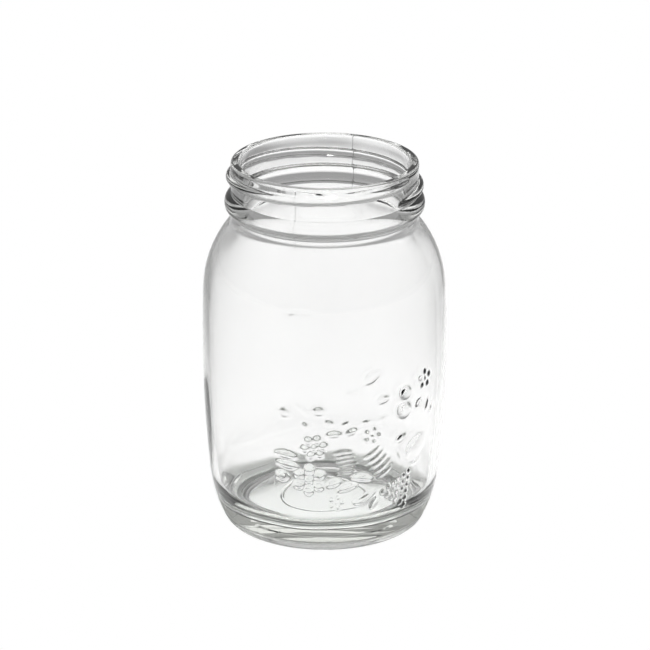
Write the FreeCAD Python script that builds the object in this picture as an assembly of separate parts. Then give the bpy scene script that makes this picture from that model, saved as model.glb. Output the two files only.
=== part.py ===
"""One-piece clear glass preserving jar with a screw finish, in millimetres, +Z up.

The origin is the centre of the base, on the surface that the jar stands on. The jar is a single
moulding, so each solid here is one named region of its glass. Every region meets its neighbours
face to face: the walls are turned about +Z from one outline of tangent arcs, the screw thread is
a helical ridge on the neck, and the fruit and flower spray is a set of low pads on the wall.
Wall places are given as an azimuth from the front (-Y), positive towards +X, and a height.
"""
import FreeCAD
import Part
import math
import os
from collections import namedtuple

V = FreeCAD.Vector
AXIS_POINT = V(0, 0, 0)
AXIS = V(0, 0, 1)

# --- Outside of the jar ---
JAR_HEIGHT = 135.0
BODY_RADIUS = 44.0          # at the widest level
BELLY_HEIGHT = 67.4         # height of the widest level
BARREL_ARC = 500.0          # long arc of the side wall
HEEL_ARC = 47.0             # gentle curve from the side down to the foot
SHOULDER_ARC = 40.0
FOOT_ARC = 2.6              # small rounding at the edge of the foot
BEARING_RADIUS = 34.2       # outer edge of the flat land that the jar stands on
LAND_WIDTH = 2.7
PLATE_SEAM_HEIGHT = 3.6     # joint line of the bottom plate in the mould

# --- Glass thickness and inside ---
WALL = 2.9
FLOOR_HEIGHT = 8.0          # inside bottom above the table
INNER_HEEL_FILLET = 11.0
THROAT_FILLET = 5.0         # rounding from the shoulder into the mouth

# --- Push-up under the base ---
COVE_ARC = 2.0
COVE_TURN = math.radians(50)
PUSH_UP_EDGE = 3.0          # height of the sharp inner edge of the foot
PUSH_UP_CENTRE = 4.2
BAFFLE_RING_RADIUS = 16.0
BAFFLE_RING_WIDTH = 1.4
BAFFLE_RING_PROUD = 0.4

# --- Screw finish: nominal 70 mm closure ---
NECK_RADIUS = 33.25         # wall between the threads
NECK_WALL = 3.25
FINISH_HEIGHT = 20.9        # from the rim down to the root of the neck
ROOT_FILLET = 1.2
LIP_HEIGHT = 2.2
LIP_OUTER_ARC = 0.9
LIP_INNER_ARC = 0.8
THREAD_PROUD = 1.75         # crest above the neck
THREAD_HALF_WIDTH = 1.6
THREAD_PITCH = 6.35
THREAD_START_DROP = 9.4     # rim down to the ridge's centre where the thread starts
THREAD_START_AZIMUTH = 50.0
THREAD_SWEEP = 375.0
THREAD_RUN_OUT = 24.0       # degrees over which each end fades into the neck
THREAD_STEP = 12.5
THREAD_BURIED = 0.5         # how far the ridge's root starts inside the neck
BEAD_DROP = 15.0            # rim down to the middle of the transfer bead
BEAD_PROUD = 2.35
BEAD_HEIGHT = 7.2

# --- Mould seams ---
NECK_SEAM_AZIMUTH = -18.0   # the finish ring of the mould sits turned on its body
BODY_SEAM_AZIMUTH = -24.0
SEAM_PROUD = 0.2
SEAM_SWEEP = 0.7            # degrees

# --- Fruit and flower spray, drawn flat and wrapped on the side wall ---
SPRAY_PANEL = 69.0          # panel height that the drawing was made for
BOLD_PROUD = 1.2
RELIEF_PROUD = 0.8
FAINT_PROUD = 0.45
PETAL_GAP = 0.35
STRAIGHT = 0.01             # a rise below this is drawn as a straight edge

MOUTH_RADIUS = NECK_RADIUS - NECK_WALL
THREAD_RADIUS = NECK_RADIUS + THREAD_PROUD
BEAD_RADIUS = NECK_RADIUS + BEAD_PROUD


def at(radius, height):
    """A point of the turned outline."""
    return V(radius, 0, height)


def polar(centre, radius, angle):
    """The outline point at an angle on a circle."""
    return at(centre.x + radius * math.cos(angle), centre.z + radius * math.sin(angle))


def heading(start, end):
    """Angle of the line from one outline point to another."""
    return math.atan2(end.z - start.z, end.x - start.x)


def line(start, end):
    return Part.LineSegment(start, end).toShape()


def arc(centre, radius, first, last):
    """Arc about a centre, from one angle to another."""
    middle = polar(centre, radius, (first + last) / 2)
    return Part.Arc(polar(centre, radius, first), middle, polar(centre, radius, last)).toShape()


def common_point(first, first_distance, second, second_distance, side):
    """The point at given distances from two points, on the chosen side of their line."""
    span = first.distanceToPoint(second)
    along = (first_distance ** 2 - second_distance ** 2 + span ** 2) / (2 * span)
    off = side * math.sqrt(first_distance ** 2 - along ** 2)
    direction = heading(first, second)
    foot = polar(first, along, direction)
    return polar(foot, off, direction + math.pi / 2)


def turned(edges, sweep=360.0):
    """Solid of revolution of a closed outline."""
    return Part.Face(Part.Wire(edges)).revolve(AXIS_POINT, AXIS, sweep)


# --- Centres and tangent angles of the outline's arcs ---
FOOT_CENTRE = at(BEARING_RADIUS, FOOT_ARC)
BARREL_CENTRE = at(BODY_RADIUS - BARREL_ARC, BELLY_HEIGHT)
HEEL_CENTRE = common_point(BARREL_CENTRE, BARREL_ARC - HEEL_ARC, FOOT_CENTRE, HEEL_ARC - FOOT_ARC, 1)
ROOT_CENTRE = at(NECK_RADIUS + ROOT_FILLET, JAR_HEIGHT - FINISH_HEIGHT)
SHOULDER_CENTRE = common_point(
    BARREL_CENTRE, BARREL_ARC - SHOULDER_ARC, ROOT_CENTRE, SHOULDER_ARC + ROOT_FILLET, -1
)
FOOT_TOP = heading(HEEL_CENTRE, FOOT_CENTRE)
HEEL_TOP = heading(BARREL_CENTRE, HEEL_CENTRE)
BARREL_TOP = heading(BARREL_CENTRE, SHOULDER_CENTRE)
SHOULDER_TOP = heading(SHOULDER_CENTRE, ROOT_CENTRE)

THROAT_X = MOUTH_RADIUS + THROAT_FILLET
THROAT_REACH = SHOULDER_ARC - WALL + THROAT_FILLET
THROAT_CENTRE = at(
    THROAT_X,
    SHOULDER_CENTRE.z + math.sqrt(THROAT_REACH ** 2 - (THROAT_X - SHOULDER_CENTRE.x) ** 2),
)
THROAT_TOP = heading(SHOULDER_CENTRE, THROAT_CENTRE)

INNER_HEEL_Z = FLOOR_HEIGHT + INNER_HEEL_FILLET
INNER_HEEL_REACH = HEEL_ARC - WALL - INNER_HEEL_FILLET
INNER_HEEL_CENTRE = at(
    HEEL_CENTRE.x + math.sqrt(INNER_HEEL_REACH ** 2 - (INNER_HEEL_Z - HEEL_CENTRE.z) ** 2),
    INNER_HEEL_Z,
)
INNER_HEEL_TOP = heading(HEEL_CENTRE, INNER_HEEL_CENTRE)

COVE_CENTRE = at(BEARING_RADIUS - LAND_WIDTH, COVE_ARC)
COVE_END = polar(COVE_CENTRE, COVE_ARC, -math.pi / 2 - COVE_TURN)
PUSH_UP_RADIUS = COVE_END.x - (PUSH_UP_EDGE - COVE_END.z) / math.tan(COVE_TURN)

BEAD_HEIGHT_CENTRE = JAR_HEIGHT - BEAD_DROP
BEAD_BOTTOM = BEAD_HEIGHT_CENTRE - BEAD_HEIGHT / 2
BEAD_TOP = BEAD_HEIGHT_CENTRE + BEAD_HEIGHT / 2
LIP_BOTTOM = JAR_HEIGHT - LIP_HEIGHT

PANEL_BOTTOM = polar(BARREL_CENTRE, BARREL_ARC, HEEL_TOP).z
PANEL_TOP = polar(BARREL_CENTRE, BARREL_ARC, BARREL_TOP).z
SPRAY_SCALE = (PANEL_TOP - PANEL_BOTTOM) / SPRAY_PANEL


# --- Walls of the moulding ---
def dome_height(radius):
    """Height of the underside of the base within the push-up."""
    return PUSH_UP_CENTRE - (PUSH_UP_CENTRE - PUSH_UP_EDGE) * (radius / PUSH_UP_RADIUS) ** 2


def bottom_glass():
    """Everything below the side wall: heel, foot and base in one outline."""
    push_up_edge = at(PUSH_UP_RADIUS, PUSH_UP_EDGE)
    halfway = at(PUSH_UP_RADIUS / 2, dome_height(PUSH_UP_RADIUS / 2))
    push_up_dome = Part.Arc(push_up_edge, halfway, at(0, PUSH_UP_CENTRE)).toShape()
    return turned([
        arc(HEEL_CENTRE, HEEL_ARC, HEEL_TOP, FOOT_TOP),
        arc(FOOT_CENTRE, FOOT_ARC, FOOT_TOP, -math.pi / 2),
        line(at(BEARING_RADIUS, 0), at(BEARING_RADIUS - LAND_WIDTH, 0)),
        arc(COVE_CENTRE, COVE_ARC, -math.pi / 2, -math.pi / 2 - COVE_TURN),
        line(COVE_END, push_up_edge),
        push_up_dome,
        line(at(0, PUSH_UP_CENTRE), at(0, FLOOR_HEIGHT)),
        line(at(0, FLOOR_HEIGHT), at(INNER_HEEL_CENTRE.x, FLOOR_HEIGHT)),
        arc(INNER_HEEL_CENTRE, INNER_HEEL_FILLET, -math.pi / 2, INNER_HEEL_TOP),
        arc(HEEL_CENTRE, HEEL_ARC - WALL, INNER_HEEL_TOP, HEEL_TOP),
        line(polar(HEEL_CENTRE, HEEL_ARC - WALL, HEEL_TOP), polar(HEEL_CENTRE, HEEL_ARC, HEEL_TOP)),
    ])


def bottom_regions():
    """Base plate, bearing ring and heel, divided at the push-up and at the plate's joint line."""
    glass = bottom_glass()
    core = Part.makeCylinder(PUSH_UP_RADIUS, JAR_HEIGHT)
    plate_zone = Part.makeCylinder(BODY_RADIUS, PLATE_SEAM_HEIGHT)
    rim = glass.cut(core)
    return {
        "base_plate": glass.common(core),
        "bearing_ring": rim.common(plate_zone),
        "heel": rim.cut(plate_zone),
    }


def curved_wall(centre, radius, first, last):
    """Wall of even thickness that follows one arc of the outline."""
    return turned([
        arc(centre, radius, first, last),
        line(polar(centre, radius, last), polar(centre, radius - WALL, last)),
        arc(centre, radius - WALL, last, first),
        line(polar(centre, radius - WALL, first), polar(centre, radius, first)),
    ])


def body_wall():
    return curved_wall(BARREL_CENTRE, BARREL_ARC, HEEL_TOP, BARREL_TOP)


def shoulder():
    """Rounded shoulder, up to the root of the neck outside and the throat inside."""
    inner = SHOULDER_ARC - WALL
    return turned([
        arc(SHOULDER_CENTRE, SHOULDER_ARC, BARREL_TOP, SHOULDER_TOP),
        line(polar(SHOULDER_CENTRE, SHOULDER_ARC, SHOULDER_TOP), polar(SHOULDER_CENTRE, inner, THROAT_TOP)),
        arc(SHOULDER_CENTRE, inner, THROAT_TOP, BARREL_TOP),
        line(polar(SHOULDER_CENTRE, inner, BARREL_TOP), polar(SHOULDER_CENTRE, SHOULDER_ARC, BARREL_TOP)),
    ])


def neck_root():
    """Thickened ring where the shoulder turns up into the neck."""
    inner = SHOULDER_ARC - WALL
    return turned([
        arc(ROOT_CENTRE, ROOT_FILLET, SHOULDER_TOP - math.pi, -math.pi),
        line(at(NECK_RADIUS, ROOT_CENTRE.z), at(NECK_RADIUS, BEAD_BOTTOM)),
        line(at(NECK_RADIUS, BEAD_BOTTOM), at(MOUTH_RADIUS, BEAD_BOTTOM)),
        line(at(MOUTH_RADIUS, BEAD_BOTTOM), at(MOUTH_RADIUS, THROAT_CENTRE.z)),
        arc(THROAT_CENTRE, THROAT_FILLET, -math.pi, THROAT_TOP - math.pi),
        line(polar(SHOULDER_CENTRE, inner, THROAT_TOP), polar(SHOULDER_CENTRE, SHOULDER_ARC, SHOULDER_TOP)),
    ])


def neck_wall():
    """Plain tube that carries the bead and the thread."""
    height = LIP_BOTTOM - BEAD_BOTTOM
    outside = Part.makeCylinder(NECK_RADIUS, height, at(0, BEAD_BOTTOM))
    return outside.cut(Part.makeCylinder(MOUTH_RADIUS, height, at(0, BEAD_BOTTOM)))


def sealing_lip():
    """Rim with rounded edges and a flat land for the lid's gasket."""
    outer = at(NECK_RADIUS - LIP_OUTER_ARC, JAR_HEIGHT - LIP_OUTER_ARC)
    inner = at(MOUTH_RADIUS + LIP_INNER_ARC, JAR_HEIGHT - LIP_INNER_ARC)
    return turned([
        line(at(NECK_RADIUS, LIP_BOTTOM), at(NECK_RADIUS, outer.z)),
        arc(outer, LIP_OUTER_ARC, 0, math.pi / 2),
        line(at(outer.x, JAR_HEIGHT), at(inner.x, JAR_HEIGHT)),
        arc(inner, LIP_INNER_ARC, math.pi / 2, math.pi),
        line(at(MOUTH_RADIUS, inner.z), at(MOUTH_RADIUS, LIP_BOTTOM)),
        line(at(MOUTH_RADIUS, LIP_BOTTOM), at(NECK_RADIUS, LIP_BOTTOM)),
    ])


def bead_edge():
    """Outer curve of the transfer bead, from its bottom to its top."""
    return Part.Arc(
        at(NECK_RADIUS, BEAD_BOTTOM), at(BEAD_RADIUS, BEAD_HEIGHT_CENTRE), at(NECK_RADIUS, BEAD_TOP)
    ).toShape()


def transfer_bead():
    return turned([bead_edge(), line(at(NECK_RADIUS, BEAD_TOP), at(NECK_RADIUS, BEAD_BOTTOM))])


def thread_section(turn):
    """Ridge outline at one angle of the thread's sweep, sunk into the neck at both ends."""
    end_distance = min(turn, THREAD_SWEEP - turn)
    fullness = math.sin(math.pi / 2 * min(1.0, end_distance / THREAD_RUN_OUT))
    height = JAR_HEIGHT - THREAD_START_DROP + THREAD_PITCH * turn / 360.0
    root = NECK_RADIUS - THREAD_BURIED
    crest = root / 2 + (NECK_RADIUS - THREAD_BURIED / 2) / 2
    crest = crest + (THREAD_RADIUS - crest) * fullness
    half = THREAD_HALF_WIDTH * (1 + fullness) / 2
    ridge = Part.Arc(at(root, height - half), at(crest, height), at(root, height + half)).toShape()
    section = Part.Wire([ridge, line(at(root, height + half), at(root, height - half))])
    section.rotate(AXIS_POINT, AXIS, THREAD_START_AZIMUTH - 90.0 + turn)
    return section


def screw_thread(bead):
    """Single-start right-hand ridge, a little more than one turn."""
    steps = round(THREAD_SWEEP / THREAD_STEP)
    sections = [thread_section(THREAD_SWEEP * step / steps) for step in range(steps + 1)]
    ridge = Part.makeLoft(sections, True, False)
    neck = Part.makeCylinder(NECK_RADIUS, JAR_HEIGHT)
    return ridge.cut(neck).cut(bead)


def baffle_ring():
    """Low circle left under the base by the blank mould."""
    inner = BAFFLE_RING_RADIUS - BAFFLE_RING_WIDTH / 2
    outer = BAFFLE_RING_RADIUS + BAFFLE_RING_WIDTH / 2
    crest = at(BAFFLE_RING_RADIUS, dome_height(BAFFLE_RING_RADIUS) - BAFFLE_RING_PROUD)
    edge = dome_height(outer)
    ring = turned([
        line(at(inner, FLOOR_HEIGHT), at(inner, edge)),
        Part.Arc(at(inner, edge), crest, at(outer, edge)).toShape(),
        line(at(outer, edge), at(outer, FLOOR_HEIGHT)),
        line(at(outer, FLOOR_HEIGHT), at(inner, FLOOR_HEIGHT)),
    ])
    return ring.cut(bottom_glass())


# --- Thin layers on the outside ---
def side_edges():
    """Outline of the outside from the plate's joint line to the root of the neck."""
    seam = math.asin((PLATE_SEAM_HEIGHT - HEEL_CENTRE.z) / HEEL_ARC)
    return [
        arc(HEEL_CENTRE, HEEL_ARC, seam, HEEL_TOP),
        arc(BARREL_CENTRE, BARREL_ARC, HEEL_TOP, BARREL_TOP),
        arc(SHOULDER_CENTRE, SHOULDER_ARC, BARREL_TOP, SHOULDER_TOP),
    ]


def neck_edges():
    """Outline of the outside of the neck, over the bead and up to the lip."""
    return [
        line(at(NECK_RADIUS, ROOT_CENTRE.z), at(NECK_RADIUS, BEAD_BOTTOM)),
        bead_edge(),
        line(at(NECK_RADIUS, BEAD_TOP), at(NECK_RADIUS, LIP_BOTTOM)),
    ]


def layer(edges, proud, sweep=360.0):
    """Skin of even radial thickness over a run of the outline."""
    outer = [edge.translated(at(proud, 0)) for edge in edges]
    first = edges[0].Vertexes[0].Point
    last = edges[-1].Vertexes[-1].Point
    ends = [line(first, first + at(proud, 0)), line(last, last + at(proud, 0))]
    return turned(Part.__sortEdges__(edges + outer + ends), sweep)


def mould_seams(edges, azimuth, obstacles):
    """Pair of fine ridges on opposite sides, interrupted by what stands on the wall."""
    seams = []
    for side in (0, 180):
        seam = layer(edges, SEAM_PROUD, SEAM_SWEEP)
        seam.rotate(AXIS_POINT, AXIS, azimuth - 90.0 + side - SEAM_SWEEP / 2)
        seams.append(seam.cut(obstacles))
    return Part.makeCompound([solid for seam in seams for solid in seam.Solids])


# --- Fruit and flower spray ---
# A stroke is a tapered mark: its middle (mm across the front and mm up from the heel's top), its
# length, its width, how far its middle bows sideways, and its turn in degrees anticlockwise.
Stroke = namedtuple("Stroke", "across up length width bow turn")
# A dot is a round or oval boss: its middle, its half sizes and its turn.
Dot = namedtuple("Dot", "across up half_length half_width turn")


def bowed(start, end, bow):
    """Arc between two points on one level with a given rise, or a straight edge if it has none."""
    if abs(bow) < STRAIGHT:
        return line(start, end)
    return Part.Arc(start, at(0, bow), end).toShape()


def stroke_face(stroke):
    """Tapered mark between two arcs with common ends, in the XZ plane."""
    left = at(-stroke.length / 2, 0)
    right = at(stroke.length / 2, 0)
    upper = bowed(left, right, stroke.bow + stroke.width / 2)
    lower = bowed(right, left, stroke.bow - stroke.width / 2)
    return Part.Face(Part.Wire([upper, lower]))


def dot_face(dot):
    """Oval in the XZ plane."""
    outline = Part.Ellipse(at(dot.half_length, 0), at(0, dot.half_width), AXIS_POINT)
    return Part.Face(Part.Wire([outline.toShape()]))


def pad(mark, skin):
    """One mark as a solid that lies on the wall."""
    face = stroke_face(mark) if isinstance(mark, Stroke) else dot_face(mark)
    face.rotate(AXIS_POINT, V(0, -1, 0), mark.turn)
    face.scale(SPRAY_SCALE, AXIS_POINT)
    prism = face.extrude(V(0, -2 * BODY_RADIUS, 0))
    prism.translate(at(0, PANEL_BOTTOM + SPRAY_SCALE * mark.up))
    azimuth = math.degrees(SPRAY_SCALE * mark.across / BODY_RADIUS)
    prism.rotate(AXIS_POINT, AXIS, azimuth)
    return prism.common(skin)


def pads(marks, skin):
    return Part.makeCompound([pad(mark, skin) for mark in marks])


def blossom(across, up, radius, petals, turn):
    """Round flower: oval petals about a small boss."""
    boss = radius * 0.24
    petal_length = radius - boss - PETAL_GAP
    middle = boss + PETAL_GAP + petal_length / 2
    width = min(petal_length * 0.8, 2 * (boss + PETAL_GAP) * math.tan(math.pi / petals) * 1.9)
    marks = [Dot(across, up, boss, boss * 0.98, 0)]
    for index in range(petals):
        angle = turn + 360.0 * index / petals
        marks.append(Stroke(
            across + middle * math.cos(math.radians(angle)),
            up + middle * math.sin(math.radians(angle)),
            petal_length, width, 0, angle,
        ))
    return marks


def grapes(across, up, rows, radius, lean):
    """Hanging bunch: rows of round berries that narrow towards the tip."""
    marks = []
    pitch = 2 * radius + PETAL_GAP
    for row in range(rows):
        count = rows - row
        for index in range(count):
            side = (index - (count - 1) / 2) * pitch
            down = row * pitch * 0.87
            marks.append(Dot(
                across + side * math.cos(lean) + down * math.sin(lean),
                up + side * math.sin(lean) - down * math.cos(lean),
                radius, radius * 0.98, 0,
            ))
    return marks


def ribs(first, last, count, length, width, bow, turn):
    """Evenly spaced curved strokes between two middles."""
    marks = []
    for index in range(count):
        share = index / (count - 1)
        across = first[0] + (last[0] - first[0]) * share
        up = first[1] + (last[1] - first[1]) * share
        marks.append(Stroke(across, up, length, width, bow, turn))
    return marks


LEAVES_LEFT = [
    Stroke(-13.8, 20.6, 9.5, 2.6, 0.4, -8),
    Stroke(-13.2, 17.0, 9.0, 3.0, 0.3, -10),
    Stroke(-15.2, 12.6, 5.5, 4.0, 0.0, -5),
    Stroke(3.4, 10.4, 5.6, 2.4, 0.3, 22),
]
LEAVES_MIDDLE = [
    Stroke(3.4, 29.0, 6.6, 2.2, 0.5, 2),
    Stroke(9.6, 29.6, 6.0, 2.2, 0.5, 22),
    Stroke(1.6, 33.6, 5.2, 1.5, 0.3, -12),
    Stroke(7.4, 33.0, 4.6, 1.4, 0.2, 24),
    Stroke(14.6, 33.0, 5.8, 1.4, 0.2, 6),
    Stroke(20.8, 33.6, 5.8, 1.4, -0.2, 14),
    Stroke(13.6, 11.6, 9.0, 2.4, 0.6, -12),
    Stroke(8.4, 8.4, 8.0, 2.4, 0.5, 16),
    Stroke(14.6, 4.6, 10.6, 3.2, -1.2, 24),
    Stroke(18.8, 1.6, 6.4, 3.0, 0.0, 58),
]
LEAVES_RIGHT = [
    Stroke(21.4, 40.4, 6.2, 2.8, 0.4, 16),
    Stroke(16.8, 49.6, 8.6, 4.0, 0.2, 34),
    Stroke(9.6, 44.6, 6.0, 1.3, 0.2, 12),
    Stroke(37.6, 35.4, 5.0, 2.6, 0.0, 36),
    Stroke(42.4, 33.4, 6.4, 1.4, -0.5, 68),
    Stroke(45.6, 31.2, 4.2, 1.2, -0.3, 62),
    Stroke(29.2, 24.2, 6.4, 2.8, 0.2, 24),
]
SPRIG = [
    Stroke(-7.8, 38.6, 7.6, 0.9, 0.2, -40),
    Stroke(-14.0, 37.0, 5.4, 3.4, 0.0, -14),
    Stroke(-2.0, 38.2, 5.8, 3.4, 0.0, 4),
    Stroke(-6.6, 32.6, 3.4, 1.8, 0.0, -50),
]
SHOULDER_LEAVES = [
    Stroke(-11.6, 73.2, 5.0, 1.3, 0.5, 8),
    Stroke(-6.8, 73.4, 4.0, 1.2, 0.4, -16),
]
STEMS = [
    Stroke(29.6, 47.0, 8.4, 0.8, -0.6, 128),
    Stroke(26.0, 40.0, 6.4, 0.8, 0.3, 118),
    Stroke(28.4, 17.4, 4.4, 0.9, 0.3, 118),
]
CHERRIES = [Dot(30.6, 41.2, 2.9, 2.8, 0), Dot(30.2, 34.8, 3.5, 3.4, 0)]
PLUM = [Dot(37.0, 19.0, 6.0, 4.2, 26), Stroke(36.8, 13.8, 8.0, 1.3, -1.2, 10)]
GOURD = ribs((17.4, 22.0), (22.6, 13.6), 5, 9.0, 1.1, -1.0, 36)
RIBBON = ribs((7.0, 22.4), (8.2, 14.6), 6, 8.0, 0.8, 0.2, 6)


def spray_regions():
    """The raised decoration, one node for each kind of mark."""
    relief = layer(side_edges(), RELIEF_PROUD)
    bold = layer(side_edges(), BOLD_PROUD)
    faint = layer(side_edges(), FAINT_PROUD)
    large_blossoms = blossom(-5.4, 11.8, 6.2, 6, 28) + blossom(-3.6, 24.4, 4.8, 6, 10)
    small_blossoms = blossom(17.0, 27.4, 3.6, 5, 70) + blossom(41.0, 43.6, 4.0, 5, 20)
    small_blossoms += blossom(4.4, 3.2, 3.0, 5, 0)
    return {
        "large_blossom_relief": pads(large_blossoms, relief),
        "small_blossom_relief": pads(small_blossoms, relief),
        "left_leaf_relief": pads(LEAVES_LEFT, relief),
        "middle_leaf_relief": pads(LEAVES_MIDDLE, relief),
        "right_leaf_relief": pads(LEAVES_RIGHT, relief),
        "stem_relief": pads(STEMS, relief),
        "cherry_relief": pads(CHERRIES, bold),
        "plum_relief": pads(PLUM, relief),
        "grape_relief": pads(grapes(28.4, 7.6, 6, 1.1, math.radians(24)), relief),
        "gourd_rib_relief": pads(GOURD, relief),
        "ribbon_relief": pads(RIBBON, faint),
        "sprig_relief": pads(SPRIG, faint),
        "shoulder_leaf_relief": pads(SHOULDER_LEAVES, faint),
    }


def build():
    """All the regions of the moulding by node name."""
    regions = bottom_regions()
    regions["baffle_ring"] = baffle_ring()
    regions["body_wall"] = body_wall()
    regions["shoulder"] = shoulder()
    regions["neck_root"] = neck_root()
    regions["neck_wall"] = neck_wall()
    regions["transfer_bead"] = transfer_bead()
    regions["screw_thread"] = screw_thread(regions["transfer_bead"])
    regions["sealing_lip"] = sealing_lip()
    regions["neck_mould_seams"] = mould_seams(
        neck_edges(), NECK_SEAM_AZIMUTH, regions["screw_thread"]
    )
    spray = spray_regions()
    regions["body_mould_seams"] = mould_seams(
        side_edges(), BODY_SEAM_AZIMUTH, Part.makeCompound(list(spray.values()))
    )
    regions.update(spray)
    return regions


def main():
    os.makedirs("parts", exist_ok=True)
    for name, shape in build().items():
        shape.exportStep("parts/" + name + ".step")
        box = shape.BoundBox
        print(f"{name}: {len(shape.Solids)} solids, {shape.Volume:.1f} mm3, z {box.ZMin:.2f} to {box.ZMax:.2f}")


if __name__ == "__main__":
    main()
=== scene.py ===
"""Clear glass preserving jar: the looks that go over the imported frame, in metres, +Z up.

The whole moulding is one closed skin of glass, because a line between two regions of the frame
would show in the refraction. Geometry Nodes turn it from one outline, raise the screw thread and
press the fruit and flower spray out of the side wall. Azimuths are measured from the front (-Y),
positive towards +X.
"""
import logging
import math
from dataclasses import dataclass, field, replace
from enum import Enum
from functools import reduce
from typing import Callable, Optional, Sequence, Union

import bpy
import bmesh
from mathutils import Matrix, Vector


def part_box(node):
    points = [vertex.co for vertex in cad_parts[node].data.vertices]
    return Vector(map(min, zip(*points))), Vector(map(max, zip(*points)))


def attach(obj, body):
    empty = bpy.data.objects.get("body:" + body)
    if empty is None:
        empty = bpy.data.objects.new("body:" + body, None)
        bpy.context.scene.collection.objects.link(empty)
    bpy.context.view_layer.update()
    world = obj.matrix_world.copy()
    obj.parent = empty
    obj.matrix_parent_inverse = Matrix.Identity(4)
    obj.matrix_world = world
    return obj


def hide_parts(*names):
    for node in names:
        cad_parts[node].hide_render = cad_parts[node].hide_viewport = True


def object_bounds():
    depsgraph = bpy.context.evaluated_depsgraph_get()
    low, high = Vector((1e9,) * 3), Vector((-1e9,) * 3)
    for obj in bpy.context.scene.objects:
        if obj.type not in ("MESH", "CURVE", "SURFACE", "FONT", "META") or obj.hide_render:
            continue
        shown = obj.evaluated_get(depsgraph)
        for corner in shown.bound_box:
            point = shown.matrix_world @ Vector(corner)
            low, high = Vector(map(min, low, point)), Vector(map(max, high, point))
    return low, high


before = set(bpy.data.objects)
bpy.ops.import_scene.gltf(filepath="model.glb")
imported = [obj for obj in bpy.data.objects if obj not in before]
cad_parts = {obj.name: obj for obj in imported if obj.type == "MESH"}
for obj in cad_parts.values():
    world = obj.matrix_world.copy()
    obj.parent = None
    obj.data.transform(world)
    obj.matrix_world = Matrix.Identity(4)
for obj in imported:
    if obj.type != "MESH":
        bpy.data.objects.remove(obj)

LOG = logging.getLogger("jar")
MM = 0.001
CAD_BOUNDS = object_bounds()

Socket = bpy.types.NodeSocket
Value = Union[float, int, Socket]
Step = Union[float, Callable[[float], float]]
Place = tuple[float, float, float]
Colour = tuple[float, float, float, float]


class Zone(Enum):
    """Which part of the outline a row of the glass belongs to."""

    UNDERSIDE = "underside"
    SIDE = "side"
    NECK = "neck"
    LIP = "lip"
    INSIDE = "inside"


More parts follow.
